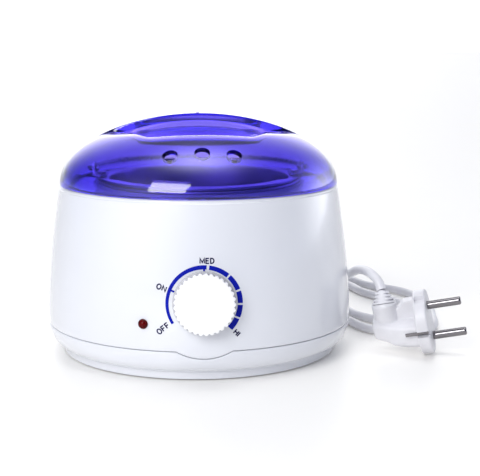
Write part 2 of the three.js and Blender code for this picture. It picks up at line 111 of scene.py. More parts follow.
PRINT_Z = 42.9
PRINT_R = 20.0
INK_BACK = -0.1  # heights over the casing's wall
INK_FRONT = 0.07
LETTER_FRONT = 0.08
LETTER_GAP = 0.34  # in shares of a letter's height
STROKE = 0.66  # width of a letter's lines

RELIEF_FOOT = (-24, 0, 13.4)
RELIEF_LEAN = -24
RELIEF_TOP = 8.6

SHARP = 35  # degrees from which an edge shows as sharp

# ---- View and light ----
CAMERA = {"lens": 88.5, "at": (-0.0190, -0.6782, 0.1764), "tilt": 80.49, "turn": -3.61}
AMBIENT = (0.07, 0.09, 0.15)
HORIZON = {"color": (0.5, 0.54, 0.66), "sharpness": 9}


def wall_radius(z):
    """Outer radius of the casing's wall at a height: straight low down, then curving inwards."""
    share = max(0.0, (z - WALL_CURVE_Z) / WALL_CURVE_RISE)
    return WALL_R - WALL_DRAWN_IN * share**WALL_POWER


def skin_radius(z):
    """Outer radius of casing and base together."""
    if z >= SEAM_Z:
        return wall_radius(z)
    share = min(1.0, (SEAM_Z - z) / (SEAM_Z - BASE_EDGE_Z))
    return BASE_EDGE_R + (BASE_TOP_R - BASE_EDGE_R) * math.sqrt(1 - share**2)


DIAL_LEAN = math.atan((wall_radius(DIAL_Z - 1) - wall_radius(DIAL_Z + 1)) / 2)


def turn(axis, degrees):
    """A rotation about an axis."""
    return Matrix.Rotation(math.radians(degrees), 4, axis)


def move(x, y, z):
    """A shift, given in millimetres."""
    return Matrix.Translation(Vector((x, y, z)) * MM)


DIAL_PLACE = move(0, -wall_radius(DIAL_Z), DIAL_Z) @ turn("X", 90 - math.degrees(DIAL_LEAN))
LAMP_PLACE = move(0, 0, LAMP["z"]) @ turn("Z", -LAMP["angle"]) @ turn("X", 90)
EXIT_PLACE = move(0, 0, CORD_Z) @ turn("X", -90)
PLUG_PLACE = (
    move(*PLUG["at"]) @ turn("Z", PLUG["heading"]) @ turn("Y", PLUG["nose"]) @ turn("X", PLUG["roll"])
)
RELIEF_PLACE = PLUG_PLACE @ move(*RELIEF_FOOT) @ turn("X", RELIEF_LEAN)

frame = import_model()
SLOT_OF = {row["node"]: row["material_slot"] for row in frame["record"]["subparts"]}


# ---- Camera ----
def make_camera():
    """A long lens in front of the dial, slightly to its left and higher than the lid."""
    data = bpy.data.cameras.new("camera")
    data.lens = CAMERA["lens"]
    data.sensor_width = 36
    data.clip_start = 0.01
    camera = bpy.data.objects.new("camera", data)
    camera.location = CAMERA["at"]
    camera.rotation_euler = (math.radians(CAMERA["tilt"]), 0, math.radians(CAMERA["turn"]))
    bpy.context.scene.collection.objects.link(camera)
    bpy.context.scene.camera = camera


make_camera()


# ---- Node materials ----
class Finish:
    """A Principled material, with methods that add procedural detail to it."""

    def __init__(self, name, color, roughness, **sockets):
        self.material = bpy.data.materials.new(name)
        self.material.use_nodes = True
        self.nodes = self.material.node_tree.nodes
        self.links = self.material.node_tree.links
        self.shader = self.nodes["Principled BSDF"]
        self.color = (*color, 1.0)
        self.shader.inputs["Base Color"].default_value = self.color
        self.shader.inputs["Roughness"].default_value = roughness
        for socket, value in sockets.items():
            self.shader.inputs[socket.replace("_", " ")].default_value = value
        self.place = self.nodes.new("ShaderNodeTexCoord").outputs["Object"]

    def noise(self, scale, detail=3.0):
        """A value that varies like noise over the surface."""
        texture = self.nodes.new("ShaderNodeTexNoise")
        texture.inputs["Scale"].default_value = scale
        texture.inputs["Detail"].default_value = detail
        self.links.new(self.place, texture.inputs["Vector"])
        return texture.outputs["Fac"]

    def rings(self, scale, distortion=0.3):
        """Fine turning marks round the Z axis."""
        texture = self.nodes.new("ShaderNodeTexWave")
        texture.wave_type = "RINGS"
        texture.rings_direction = "Z"
        texture.inputs["Scale"].default_value = scale
        texture.inputs["Distortion"].default_value = distortion
        self.links.new(self.place, texture.inputs["Vector"])
        return texture.outputs["Fac"]

    def tint(self, value, other, low=0.35, high=0.65):
        """Base colour that varies towards another colour."""
        ramp = self.nodes.new("ShaderNodeValToRGB")
        ramp.color_ramp.elements[0].position = low
        ramp.color_ramp.elements[0].color = self.color
        ramp.color_ramp.elements[1].position = high
        ramp.color_ramp.elements[1].color = (*other, 1.0)
        self.links.new(value, ramp.inputs["Fac"])
        self.links.new(ramp.outputs["Color"], self.shader.inputs["Base Color"])
        return self

    def rough(self, value, low, high):
        """Roughness that varies between two values."""
        spread = self.nodes.new("ShaderNodeMapRange")
        spread.inputs["To Min"].default_value = low
        spread.inputs["To Max"].default_value = high
        self.links.new(value, spread.inputs["Value"])
        self.links.new(spread.outputs["Result"], self.shader.inputs["Roughness"])
        return self

    def bump(self, value, strength, depth_mm):
        """Relief in the surface's shading."""
        bump = self.nodes.new("ShaderNodeBump")
        bump.inputs["Strength"].default_value = strength
        bump.inputs["Distance"].default_value = depth_mm * MM
        self.links.new(value, bump.inputs["Height"])
        self.links.new(bump.outputs["Normal"], self.shader.inputs["Normal"])
        return self


def moulded_white(name, color, other, roughness):
    """Injection-moulded gloss plastic: barely uneven in tone, with a fine orange peel."""
    finish = Finish(name, color, roughness, Coat_Weight=1.0, Coat_Roughness=0.1, IOR=1.5)
    finish.tint(finish.noise(9), other).rough(finish.noise(60), roughness - 0.03, roughness + 0.05)
    return finish.bump(finish.noise(420, 2), 0.06, 0.02).material


def lid_plastic():
    """Clear violet-blue plastic, darker where light passes through more of it."""
    finish = Finish(
        "lid_plastic", (0.71, 0.64, 0.99), 0.05, IOR=1.5, Transmission_Weight=1.0,
        Coat_Weight=0.5, Coat_IOR=1.5, Coat_Roughness=0.02, Specular_IOR_Level=0.4,
    )
    finish.rough(finish.noise(35), 0.05, 0.07)
    finish.bump(finish.noise(14, 1), 0.12, 0.15)
    absorb = finish.nodes.new("ShaderNodeVolumeAbsorption")
    absorb.inputs["Color"].default_value = (0.27, 0.15, 0.96, 1)
    absorb.inputs["Density"].default_value = 250
    finish.links.new(absorb.outputs["Volume"], finish.nodes["Material Output"].inputs["Volume"])
    return finish.material


def turned_metal(name, color, roughness):
    """Spun or turned metal with fine rings and slight stains."""
    finish = Finish(name, color, roughness, Metallic=1.0)
    finish.tint(finish.noise(25), tuple(0.86 * c for c in color))
    finish.rough(finish.noise(90), roughness - 0.06, roughness + 0.1)
    return finish.bump(finish.rings(900), 0.1, 0.02).material


def plated(name, color, roughness):
    """Bright plated or polished metal with faint smudges."""
    finish = Finish(name, color, roughness, Metallic=1.0)
    finish.tint(finish.noise(60), tuple(0.85 * c for c in color))
    finish.rough(finish.noise(150), max(0.02, roughness - 0.04), roughness + 0.06)
    return finish.bump(finish.noise(500), 0.05, 0.01).material


def dull(name, color, roughness, scale=300, depth=0.05, strength=0.25):
    """Matte moulded, woven or fired stuff: a fine grain in tone and surface."""
    finish = Finish(name, color, roughness)
    finish.tint(finish.noise(scale / 4), tuple(0.9 * c for c in color))
    return finish.bump(finish.noise(scale, 5), strength, depth).material


def woven(name, color):
    """Woven sleeve: a fine weave in relief, with a soft sheen."""
    finish = Finish(name, color, 0.9, Sheen_Weight=0.4)
    texture = finish.nodes.new("ShaderNodeTexBrick")
    texture.inputs["Scale"].default_value = 400
    finish.links.new(finish.place, texture.inputs["Vector"])
    finish.tint(finish.noise(120), tuple(0.85 * c for c in color))
    return finish.bump(texture.outputs["Fac"], 0.5, 0.2).material


def red_lens():
    """Deep red glossy plastic."""
    finish = Finish("lamp_lens", (0.12, 0.0005, 0.002), 0.06, IOR=1.4, Specular_IOR_Level=0.15)
    finish.tint(finish.noise(700, 1), (0.05, 0.001, 0.002))
    return finish.bump(finish.noise(300, 1), 0.1, 0.05).material


def clear_glass():
    """The lamp's clear glass."""
    finish = Finish("lamp_glass", (0.95, 0.92, 0.88), 0.03, Transmission_Weight=1.0, IOR=1.5)
    return finish.rough(finish.noise(200), 0.01, 0.08).material


def ink(name, color, other):
    """Printed ink, slightly uneven in tone and gloss."""
    finish = Finish(name, color, 0.4, Specular_IOR_Level=0.1)
    finish.tint(finish.noise(500), other)
    return finish.rough(finish.noise(900), 0.3, 0.45).material


FINISHES = {
    "white_plastic": moulded_white("white_plastic", (0.755, 0.77, 0.815), (0.745, 0.76, 0.81), 0.22),
    "knob_plastic": moulded_white("knob_plastic", (0.93, 0.93, 0.935), (0.91, 0.91, 0.92), 0.35),
    # painted shade: the knob's white plastic made darker grey, for the shaded ring behind the cap
    "knob_painted_shade": moulded_white("knob_painted_shade", (0.5, 0.5, 0.53), (0.47, 0.47, 0.5), 0.4),
    "lid_plastic": lid_plastic(),
    "well_aluminium": turned_metal("well_aluminium", (0.7, 0.71, 0.73), 0.34),
    "pot_aluminium": turned_metal("pot_aluminium", (0.76, 0.76, 0.77), 0.3),
    "steel": plated("steel", (0.6, 0.61, 0.62), 0.26),
    "chrome": plated("chrome", (0.24, 0.23, 0.24), 0.06),
    "rubber": dull("rubber", (0.27, 0.275, 0.29), 0.75),
    "lamp_lens": red_lens(),
    "lamp_glass": clear_glass(),
    "mica": dull("mica", (0.4, 0.26, 0.11), 0.5, 120, 0.1),
    "fibre": woven("fibre", (0.79, 0.76, 0.68)),
    "phenolic": dull("phenolic", (0.02, 0.018, 0.018), 0.45),
    "ceramic": dull("ceramic", (0.83, 0.81, 0.73), 0.5, 500, 0.03),
    "cord_plastic": dull("cord_plastic", (0.76, 0.755, 0.79), 0.36, 260, 0.03, 0.12),
    "wire_red": dull("wire_red", (0.33, 0.03, 0.02), 0.45),
    "wire_blue": dull("wire_blue", (0.03, 0.08, 0.33), 0.45),
    "dial_ink": ink("dial_ink", (0.002, 0.008, 0.34), (0.002, 0.01, 0.39)),
    "text_ink": ink("text_ink", (0.004, 0.003, 0.05), (0.006, 0.004, 0.065)),
}


# ---- Mesh helpers ----
def clean(mesh):
    """Merges what coincides and turns every face outwards."""
    work = bmesh.new()
    work.from_mesh(mesh)
    bmesh.ops.remove_doubles(work, verts=work.verts, dist=1e-7)
    bmesh.ops.dissolve_degenerate(work, edges=work.edges, dist=1e-8)
    bmesh.ops.delete(work, geom=[e for e in work.edges if e.is_wire], context="EDGES")
    bmesh.ops.recalc_face_normals(work, faces=work.faces)
    work.to_mesh(mesh)
    work.free()


def piece(name, points, faces, finish, body, replaced=(), place=None, slot=None, sharp=SHARP):
    """A new piece from points in millimetres, riding on a body and standing for CAD nodes."""
    mesh = bpy.data.meshes.new(name)
    mesh.from_pydata([Vector(p) * MM for p in points], [], faces)
    clean(mesh)
    if place is not None:
        mesh.transform(place)
    return adopt(name, mesh, finish, body, replaced, slot, sharp)


def adopt(name, mesh, finish, body, replaced, slot=None, sharp=SHARP):
    """Makes a mesh, already in metres and in place, a piece of the object."""
    thing = bpy.data.objects.new(name, mesh)
    bpy.context.scene.collection.objects.link(thing)
    mesh.materials.clear()
    mesh.materials.append(FINISHES[finish])
    mesh.shade_smooth()
    mesh.set_sharp_from_angle(angle=math.radians(sharp))
    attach(thing, body)
    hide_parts(*replaced)
    slot or finish
    return thing


def grid_faces(rows, columns, wrap_rows=True, wrap_columns=True):
    """Quads over rows by columns of points, listed row by row."""
    faces = []
    for i in range(rows if wrap_rows else rows - 1):
        for j in range(columns if wrap_columns else columns - 1):
            a, b = i * columns, ((i + 1) % rows) * columns
            k = (j + 1) % columns
            faces.append((a + j, b + j, b + k, a + k))
    return faces


def around(count):
    """Evenly spaced angles of a full turn."""
    return [2 * math.pi * i / count for i in range(count)]


def spun(
    name, section, finish, body, replaced=(), place=None, angles=None, sharp=SHARP, cuts=(), slot=None
):
    """A piece turned about Z.

    section is its closed outline as (radius, height) points, or a function that gives it for an angle.
    """
    angles = angles or around(128)
    outlines = [section(angle) if callable(section) else section for angle in angles]
    points = []
    for angle, outline in zip(angles, outlines):
        points += [(r * math.cos(angle), r * math.sin(angle), z) for r, z in outline]
    faces = grid_faces(len(angles), len(outlines[0]))
    thing = piece(name, points, faces, finish, body, replaced, place, slot, sharp)
    for cut in cuts:
        boolean(thing, cut, "DIFFERENCE")
    return thing


def rounded(corners, steps=4):
    """An outline whose corners (x, y, radius) are rounded off; a corner without a radius stays sharp."""
    outline = []
    for i, corner in enumerate(corners):
        here = Vector(corner[:2])
        if len(corner) < 3:
            outline.append(tuple(here))
            continue
        before = Vector(corners[i - 1][:2]) - here
        after = Vector(corners[(i + 1) % len(corners)][:2]) - here
        opening = before.angle(after)
        reach = corner[2] / math.tan(opening / 2)
        reach = min(reach, 0.48 * before.length, 0.48 * after.length)
        start = here + before.normalized() * reach
        end = here + after.normalized() * reach
        for k in range(steps + 1):
            t = k / steps
            outline.append(tuple((1 - t) ** 2 * start + 2 * t * (1 - t) * here + t**2 * end))
    return outline


def solid_box(low, high, place=None):
    """A plain box as a cutting tool."""
    work = bmesh.new()
    bmesh.ops.create_cube(work, size=1)
    middle = (Vector(low) + Vector(high)) / 2
    size = Vector(high) - Vector(low)
    bmesh.ops.scale(work, vec=size * MM, verts=work.verts)
    bmesh.ops.translate(work, vec=middle * MM, verts=work.verts)
    return tool(work, place)


def solid_rod(radius, low, high, place, sides=64):
    """A plain cylinder along Z as a cutting tool."""
    work = bmesh.new()
    bmesh.ops.create_cone(
        work,
        cap_ends=True,
        segments=sides,
        radius1=radius * MM,
        radius2=radius * MM,
        depth=(high - low) * MM,
    )
    bmesh.ops.translate(work, vec=(0, 0, (low + high) / 2 * MM), verts=work.verts)
    return tool(work, place)


def tool(work, place):
    """An object from a bmesh, to be used up by a boolean."""
    mesh = bpy.data.meshes.new("tool")
    work.to_mesh(mesh)
    work.free()
    if place is not None:
        mesh.transform(place)
    thing = bpy.data.objects.new("tool", mesh)
    bpy.context.scene.collection.objects.link(thing)
    return thing


def boolean(thing, cutter, operation):
    """Cuts or joins the tool into the piece, and removes the tool."""
    modifier = thing.modifiers.new("cut", "BOOLEAN")
    modifier.operation = operation
    modifier.solver = "MANIFOLD"
    modifier.object = cutter
    bake_modifiers(thing)
    bpy.data.objects.remove(cutter)


def bake_modifiers(thing):
    """Applies the modifiers, keeping the material and marking sharp edges again."""
    kept = list(thing.data.materials)
    graph = bpy.context.evaluated_depsgraph_get()
    mesh = bpy.data.meshes.new_from_object(thing.evaluated_get(graph))
    thing.modifiers.clear()
    thing.data = mesh
    mesh.materials.clear()
    for material in kept:
        mesh.materials.append(material)
    mesh.shade_smooth()
    mesh.set_sharp_from_angle(angle=math.radians(SHARP))


def refined(node, bevel_mm=0.25, segments=2):
    """The CAD node's shape with its edges broken, as a piece of its own."""
    source = frame["nodes"][node]
    mesh = source.data.copy()
    clean(mesh)
    work = bmesh.new()
    work.from_mesh(mesh)
    bmesh.ops.dissolve_limit(work, angle_limit=math.radians(1), verts=work.verts, edges=work.edges)
    work.to_mesh(mesh)
    work.free()
    thing = adopt(node + "_fine", mesh, SLOT_OF[node], source["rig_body"], [node])
    break_edges(thing, bevel_mm, segments)


def break_edges(thing, width_mm, segments=2):
    """Rounds the piece's sharp edges."""
    bevel = thing.modifiers.new("edges", "BEVEL")
    bevel.width = width_mm * MM
    bevel.segments = segments
    bevel.limit_method = "ANGLE"
    bevel.angle_limit = math.radians(40)
    bake_modifiers(thing)


# ---- Mains cord, made before the rest of the object ----
ROUTE = [
    (0, 70, 11.5), (0, 101, 11.3), (5, 124, 5.2), (28, 139, 2.9), (59, 124, 2.9), (79, 94, 2.9),
    (88.5, 65, 2.9), (95.5, 36, 2.9), (105, 15, 2.9), (124, 6, 2.9), (142, 17, 2.9), (150, 50, 2.9),
    (154, 90, 2.9), (145, 123, 2.9), (125, 145, 2.9), (113, 172, 2.9), (92, 192, 2.9), (66, 188, 2.9),
    (54, 166, 2.9), (62, 139, 2.9), (80, 110, 2.9), (95, 78, 2.9), (103, 52, 2.9), (116, 38, 2.9),
    (135, 40, 2.9), (143.5, 58, 2.9), (135, 90, 2.9), (118, 122, 2.9), (109, 152, 2.9), (95, 169, 2.9),
    (75, 169, 2.9), (65.5, 148, 5.5), (75, 118, 10.5), (87.5, 80, 19), (94.5, 38, 33), (95.4, 9, 41.2),
    (96.8, -9, 43.9), (98.9, -18.5, 43.4), (101.5, -23.5, 40.4),
]


def smooth_path(points, steps=12):
    """A centripetal Catmull-Rom curve through the points, as the CAD has it."""
    ends = [2 * points[0] - points[1], *points, 2 * points[-1] - points[-2]]
    path = []
    for p0, p1, p2, p3 in zip(ends, ends[1:], ends[2:], ends[3:]):
        t1 = (p1 - p0).length ** 0.5
        t2 = t1 + (p2 - p1).length ** 0.5
        t3 = t2 + (p3 - p2).length ** 0.5
        for k in range(steps):
            t = t1 + (t2 - t1) * k / steps
            a1 = p0.lerp(p1, t / t1)
            a2 = p1.lerp(p2, (t - t1) / (t2 - t1))
            a3 = p2.lerp(p3, (t - t2) / (t3 - t2))
            b1 = a1.lerp(a2, t / t2)
            b2 = a2.lerp(a3, (t - t1) / (t3 - t1))
            path.append(b1.lerp(b2, (t - t1) / (t2 - t1)))
    return [*path, points[-1]]


def round_curve(name, path, radius_mm, finish, body, replaced):
    """A round wire or cord as a curve of one open spline. The path is in metres."""
    data = bpy.data.curves.new(name, "CURVE")
    data.dimensions = "3D"
    spline = data.splines.new("POLY")
    spline.points.add(len(path) - 1)
    for point, at in zip(spline.points, path):
        point.co = (*at, 1)
    data.bevel_depth = radius_mm * MM
    data.bevel_resolution = 5
    data.use_fill_caps = True
    thing = bpy.data.objects.new(name, data)
    bpy.context.scene.collection.objects.link(thing)
    data.materials.append(FINISHES[finish])
    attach(thing, body)
    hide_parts(*replaced)
    return thing


def make_cord():
    """The mains cord, from inside the casing to the top of the plug's relief."""
    end = RELIEF_PLACE @ (Vector((0, 0, RELIEF_TOP + 0.2)) * MM)
    points = [Vector(p) * MM for p in ROUTE] + [end]
    return round_curve("flex", smooth_path(points), CORD_R, "cord_plastic", "housing", ["mains_cord"])


flex = make_cord()


# ---- Plug ----
def grip_points(columns):
    """Rings of points round the plug's grip, from its tail to its flange, and how many rings."""
    sections = [  # x, half width, top, bottom
        (-32.2, 5.8, 4.6, -3.4),
        (-31.6, 7.2, 6.0, -4.6),
        (-29, 8.6, 6.2, -5.6),
        (-25, 9.9, 5.5, -6.9),
        (-21.5, 10.9, 4.9, -9.4),
        (-16, 12.2, 4.6, -10.7),
        (-10, 13.5, 4.3, -11.2),
        (-4, 14.3, 4.2, -11.4),
    ]
    points = []
    for x, half, top, bottom in sections:
        middle, height = (top + bottom) / 2, (top - bottom) / 2
        for angle in around(columns):
            c, s = math.cos(angle), math.sin(angle)
            y = half * math.copysign(abs(c) ** 0.5, c)
            z = middle + height * math.copysign(abs(s) ** 0.5, s)
            points.append((x, y, z))
    return points, len(sections)


def plug_shell():
    """The moulded body: flange, grip, barrel and web as one blended solid."""
    columns = 48
    points, rows = grip_points(columns)
    faces = grid_faces(rows, columns, wrap_rows=False)
    faces.append(tuple(range(columns - 1, -1, -1)))
    faces.append(tuple(range((rows - 1) * columns, rows * columns)))
    shell = piece(
        "plug_shell", points, faces, "cord_plastic", "housing", ["plug_body"], PLUG_PLACE
    )
    flange = [(0, -7), (PLUG_R, -7, 1.2), (PLUG_R, 0, 1.2), (0, 0)]
    disc = spun("disc", rounded(flange), "cord_plastic", "housing", place=PLUG_PLACE @ turn("Y", 90))
    barrel = solid_rod(7.1, 0, 15, PLUG_PLACE @ move(-24, 0, 0))
    collar = solid_rod(6.6, -3, 0.7, RELIEF_PLACE)
    boolean(shell, barrel, "UNION")
    boolean(shell, collar, "UNION")
    boolean(shell, web_tool(), "UNION")
    boolean(shell, disc, "UNION")
    remesh = shell.modifiers.new("blend", "REMESH")
    remesh.mode = "VOXEL"
    remesh.voxel_size = 0.42 * MM
    soften = shell.modifiers.new("soften", "SMOOTH")
    soften.iterations = 5
    soften.factor = 0.5
    bake_modifiers(shell)
    for side in (-1, 1):
        low, high = sorted((side * 14.4, side * 20))
        clip_groove = solid_box((-14.4, low, -1.8), (2, high, 1.8), PLUG_PLACE)
        boolean(shell, clip_groove, "DIFFERENCE")
        low, high = sorted((side * 4.5, side * 11))
        grip_notch = solid_box((-6, low, 15.4), (-1, high, 20), PLUG_PLACE)
        boolean(shell, grip_notch, "DIFFERENCE")
    return shell


def web_tool():
    """The web between barrel and flange, seen from the side."""
    outline = [(-24, 2), (-5, 2), (-5, 15.2), (-12.5, 15), (-17, 11), (-20, 9), (-24, 12)]
    work = bmesh.new()
    for y in (-3, 3):
        for x, z in outline:
            work.verts.new(Vector((x, y, z)) * MM)
    work.verts.ensure_lookup_table()
    count = len(outline)
    verts = list(work.verts)
    work.faces.new(verts[:count])
    work.faces.new(verts[count:][::-1])
    for i in range(count):
        k = (i + 1) % count
        work.faces.new((verts[i], verts[k], verts[count + k], verts[count + i]))
    bmesh.ops.recalc_face_normals(work, faces=work.faces)
    return tool(work, PLUG_PLACE)


RIB_PROFILE = ((0.12, 0), (0.55, 0), (0.65, 1), (0.9, 1), (1.0, 0))


def ribbed(low_r, high_r, low, high, ribs, bore, depth, sides_only=False):
    """Section of a tapered relief with ribs; the grooves may fade towards its front and back."""
    def section(angle):
        bite = depth * (max(0.0, abs(math.cos(angle)) - 0.25) / 0.75 if sides_only else 1.0)
        outline = [(bore, low), (low_r, low)]
        step = (high - low) / ribs
        for i in range(ribs):
            z = low + i * step
            for share, inward in RIB_PROFILE:
                t = (z + share * step - low) / (high - low)
                outline.append((low_r + (high_r - low_r) * t - bite * inward, z + share * step))
        outline.append((bore, high))
        return outline
    return section


def make_plug():
    """The plug's body, relief, pins and earth clips, as a list of pieces."""
    shell = plug_shell()
    relief = spun(
        "plug_relief_ribbed",
        ribbed(6.7, 3.4, 0.9, RELIEF_TOP, 4, 0.4, 1.3, sides_only=True),
        "cord_plastic",
        "housing",
        ["plug_relief"],
        RELIEF_PLACE,
    )
    parts = [shell, relief]
    for i, z in enumerate((9.5, -9.5), 1):
        tip = [(0, -2.6), (2.4, -2.6), (2.4, 19, 1.9), (0, 19)]
        pin = spun(
            f"plug_pin_{i}_fine", rounded(tip, 8), "chrome", "housing", [f"plug_pin_{i}"],
            PLUG_PLACE @ move(0, 0, z) @ turn("Y", 90), around(48),
        )
        parts.append(pin)
        parts.append(earth_clip(i))
    return parts


def earth_clip(number):
    """A thin sprung strip in the groove on one side of the plug."""
    near, far = (-16.3, -15) if number == 1 else (15, 16.3)
    strip = solid_box((-13.6, near, -0.9), (-0.6, far, 0.9), PLUG_PLACE)
    node = f"plug_earth_clip_{number}"
    clip = adopt(node + "_fine", strip.data, "chrome", "housing", [node])
    bpy.data.objects.remove(strip)
    break_edges(clip, 0.3)
    return clip


plug_parts = make_plug()


# ---- Casing and base ----
def seam_height(angle):
    """Height of the seam: level all round, apart from the round tab below the dial."""
    x = BASE_TOP_R * math.cos(angle)
    if math.sin(angle) > 0 or abs(x) >= TAB_R:
        return SEAM_Z
    return min(SEAM_Z, DIAL_Z - math.sqrt(TAB_R**2 - x**2))


def seam_angles():
    """Columns round the casing, closer together across the tab, with one on each of its corners."""
    tab_steps, rest_steps = 30, 190
    corner = math.sqrt(TAB_R**2 - (DIAL_Z - SEAM_Z) ** 2)
    half = math.degrees(math.asin(corner / BASE_TOP_R))
    tab = [270 + half * i / tab_steps for i in range(-tab_steps, tab_steps + 1)]
    rest_start, rest_end = 270 + half, 630 - half
    rest = [rest_start + (rest_end - rest_start) * i / rest_steps for i in range(1, rest_steps)]
    return [math.radians(a) for a in tab + rest]


def casing_section(angle):
    """The casing's wall, rim and inner collar, from the seam up and down again inside."""
    low = seam_height(angle)
    edge = skin_radius(low)
    outline = [(edge - WALL, low), (edge - 0.5, low), (skin_radius(low + 0.12) - 0.12, low + 0.12)]
    for i in range(41):
        z = low + 0.45 + (93.6 - low - 0.45) * i / 40
        outline.append((skin_radius(z), z))
    outline += rounded([
        (wall_radius(94.4), 94.4, 1), (79.1, RIM_Z, 0.8), (77.7, RIM_Z, 0.5), (77.2, 95, 0.4),
        (77.2, 92.5, 0.4), (61.2, 92.5, 1), (60, 93.2, 0.6), (60, 95, 0.3), (57.2, 95, 0.4),
        (57.2, 84), (59.2, 84), (59.2, 90, 1), (wall_radius(90) - WALL, 90, 1),
    ])
    for i in range(12):
        z = 88 - (88 - low - 1) * i / 11
        outline.append((skin_radius(z) - WALL, z))
    return outline


def base_section(angle):
    """The base's side, rolled edge, foot ring and plate, with a lip inside the casing."""
    top = seam_height(angle) - SEAM_GAP
    edge = skin_radius(top)
    outline = [(edge - 0.5, top), (skin_radius(top - 0.12) - 0.12, top - 0.12)]
    for i in range(24):
        t = (i / 23) ** 0.8
        z = top - 0.45 - (top - 0.45 - BASE_EDGE_Z - 0.3) * t
        outline.append((skin_radius(z), z))
    outline += rounded([
        (BASE_EDGE_R + 0.25, BASE_EDGE_Z - 0.1, 0.4), (BASE_EDGE_R - 0.1, 5.1, 0.4), (79.6, 5.1, 0.3),
        (79.2, 0.8, 0.4), (77.6, 0.8, 0.3), (77.6, 3, 0.6),
    ])
    return outline + [
        (0, 3), (0, 5.4), (76.6, 5.4), (80.2, 9.6), (82.6, 14.4), (82.6, 22), (84.6, 22), (84.6, top),
    ]


def make_casing():
    """The casing, with holes for the dial's shaft and the lamp."""
    dial_hole = solid_rod(4.4, -8, 8, DIAL_PLACE)
    lamp_hole = solid_rod(2.5, 80, 92, LAMP_PLACE)
    spun(
        "casing", casing_section, "white_plastic", "housing", ["body_shell"],
        angles=seam_angles(), cuts=[dial_hole, lamp_hole],
    )


def make_base():
    """The base with its outlet boss, and with the cord's hole and five slots cut through."""
    base = spun("base", base_section, "white_plastic", "housing", ["base_shell"], angles=seam_angles())
    boolean(base, solid_rod(5.9, 79, 87.6, EXIT_PLACE), "UNION")
    boolean(base, solid_rod(4.6, 70, 95, EXIT_PLACE), "DIFFERENCE")
    for x in (-28, -14, 0, 14, 28):
        boolean(base, solid_box((x - 2, -36, 0), (x + 2, -14, 8)), "DIFFERENCE")


def make_grommet():
    """The strain relief: a flanged sleeve through the wall, then ribs that taper outside it."""
    sleeve = [(3.1, 74.9), (5.7, 74.9), (5.7, 76.6), (4.3, 76.6), (4.3, 87.8), (6.2, 87.8), (6.4, 88.3)]
    ribs = ribbed(6.2, 3.9, 89.6, 99, 4, 3.1, 0.9)(0)
    section = sleeve + ribs[1:]
    spun("cord_grommet", section, "cord_plastic", "housing", ["strain_relief"], EXIT_PLACE)


make_casing()
make_base()
make_grommet()


# ---- Dial: print, knob, lamp ----
def on_wall(x, y, lift):
    """A point of the dial's face, wrapped onto the casing's wall."""
    z = PRINT_Z + y * math.cos(DIAL_LEAN)
    r = wall_radius(z) + lift
    return (x, -math.sqrt(r * r - x * x), z)


def ink_corners(inner, outer, front):
    """The four corners of a raised line of ink, across it."""
    return [
        on_wall(*inner, INK_BACK),
        on_wall(*outer, INK_BACK),
        on_wall(*outer, front),
        on_wall(*inner, front),
    ]


def print_patch(name, outline_at, steps):
    """A thin raised patch of ink. outline_at(share) gives its two sides as points on the dial's face."""
    points = []
    for i in range(steps + 1):
        inner, outer = outline_at(i / steps)
        points += ink_corners(inner, outer, INK_FRONT)
    faces = grid_faces(steps + 1, 4, wrap_rows=False)
    faces += [(3, 2, 1, 0), tuple(range(4 * steps, 4 * steps + 4))]
    piece(name, points, faces, "dial_ink", "housing", slot="dial_ink")


def polar(radius, degrees):
    """A point at a radius and angle."""
    return (radius * math.cos(math.radians(degrees)), radius * math.sin(math.radians(degrees)))


def print_arc(name, start, end, thick_start, thick_end):
    """An arc of ink inwards from the print's radius, whose thickness may change along it."""
    def outline(share):
        degrees = start + (end - start) * share
        thickness = thick_start + (thick_end - thick_start) * share
        return polar(PRINT_R - thickness, degrees), polar(PRINT_R, degrees)

    print_patch(name, outline, max(6, int(abs(end - start) / 2.5)))


def print_tick(name, degrees, length, width=0.8):
    """A short radial line of ink."""
    across = Vector(polar(width / 2, degrees + 90))

    def outline(share):
        middle = Vector(polar(PRINT_R - 0.4 - length * share, degrees))
        return tuple(middle - across), tuple(middle + across)

    print_patch(name, outline, 4)


# Pen strokes of the letters, in shares of a letter's height.
GLYPHS = {
    "D": [[(0, 0), (0, 1), (0.3, 1), (0.58, 0.84), (0.68, 0.5), (0.58, 0.16), (0.3, 0), (0, 0)]],
    "E": [[(0.62, 0), (0, 0), (0, 1), (0.62, 1)], [(0.08, 0.52), (0.54, 0.52)]],
    "F": [[(0, 0), (0, 1), (0.62, 1)], [(0.08, 0.52), (0.54, 0.52)]],
    "H": [[(0, 0), (0, 1)], [(0.08, 0.52), (0.6, 0.52)], [(0.68, 0), (0.68, 1)]],
    "I": [[(0, 0), (0, 1)]],
    "M": [[(0, 0), (0, 1), (0.44, 0.2), (0.88, 1), (0.88, 0)]],
    "N": [[(0, 0), (0, 1), (0.7, 0), (0.7, 1)]],
    "O": [[(0.4 + 0.4 * math.sin(a), 0.5 + 0.5 * math.cos(a)) for a in around(20)] + [(0.4, 1)]],
}


def stroke_sides(line):
    """The two edges of a pen stroke along a line of points, mitred at its corners."""
    closed = line[0] == line[-1]
    befores = [line[-2] if closed else line[0], *line[:-1]]
    afters = [*line[1:], line[1] if closed else line[-1]]
    sides = []
    for before, here, after in zip(befores, line, afters):
        along = [(b - a).normalized() for a, b in ((before, here), (here, after)) if a != b]
        normals = [Vector((-d.y, d.x)) for d in along]
        middle = sum(normals, Vector((0, 0))).normalized()
        middle *= 0.5 * STROKE / max(0.45, middle.dot(normals[0]))
        sides.append((here - middle, here + middle))
    return sides


